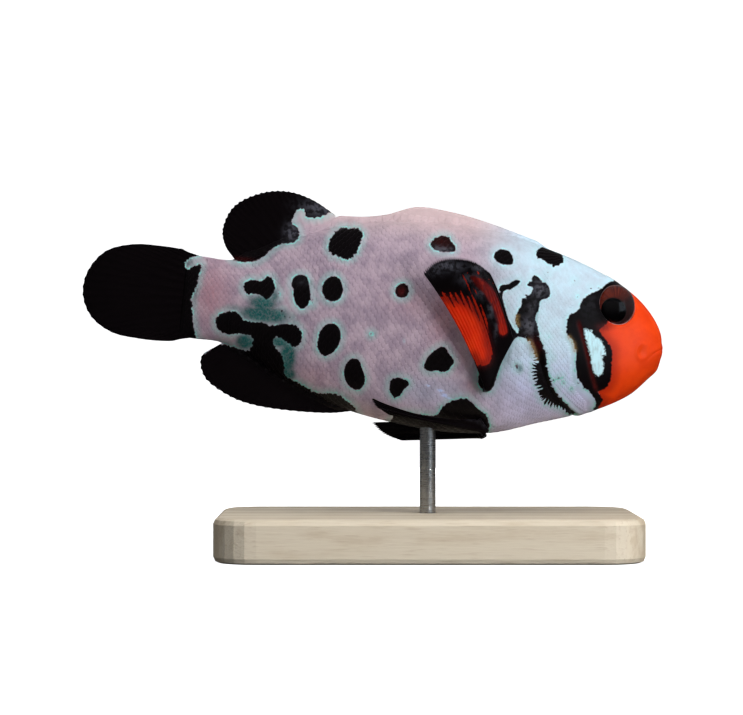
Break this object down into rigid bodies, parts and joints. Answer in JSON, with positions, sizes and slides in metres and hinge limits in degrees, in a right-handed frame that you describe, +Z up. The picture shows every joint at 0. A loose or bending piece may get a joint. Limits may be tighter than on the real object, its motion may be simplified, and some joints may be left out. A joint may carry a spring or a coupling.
{
  "type": "clownfish",
  "caption": "Pale-bodied, black-spotted ocellaris clownfish with an orange face and black fins, a life-size still model held by one rod over a flat base.",
  "frame": {"origin": "centre of the stand base's flat underside, straight under the rod", "axes": "+X towards the fish's head, +Y towards its left side, +Z up; the fish's right side faces -Y"},
  "size_m": [0.0806, 0.036, 0.0508],
  "materials": {
    "scaled_skin": "moist pearly skin with small overlapping scales, pinkish grey with black spots rimmed in pale cyan",
    "orange_skin": "smooth satin orange skin",
    "black_fin": "satin black fin membrane over fine rays",
    "eye": "clear glossy cornea over a reddish-brown iris and black pupil",
    "pale_wood": "satin-lacquered pale wood",
    "brushed_steel": "fine drawn satin steel"
  },
  "bodies": {
    "root": {"trunk": "scaled_skin", "tail": "scaled_skin", "gill_cover_right": "scaled_skin", "gill_cover_left": "scaled_skin", "spiny_dorsal_fin": "scaled_skin", "head": "orange_skin", "upper_jaw": "orange_skin", "lower_jaw": "orange_skin", "pectoral_fin_right": "orange_skin", "pectoral_fin_left": "orange_skin", "caudal_fin": "black_fin", "soft_dorsal_fin": "black_fin", "anal_fin": "black_fin", "pelvic_fin_right": "black_fin", "pelvic_fin_left": "black_fin", "eye_right": "eye", "eye_left": "eye", "stand_base": "pale_wood", "stand_rod": "brushed_steel"}
  },
  "joints": []
}
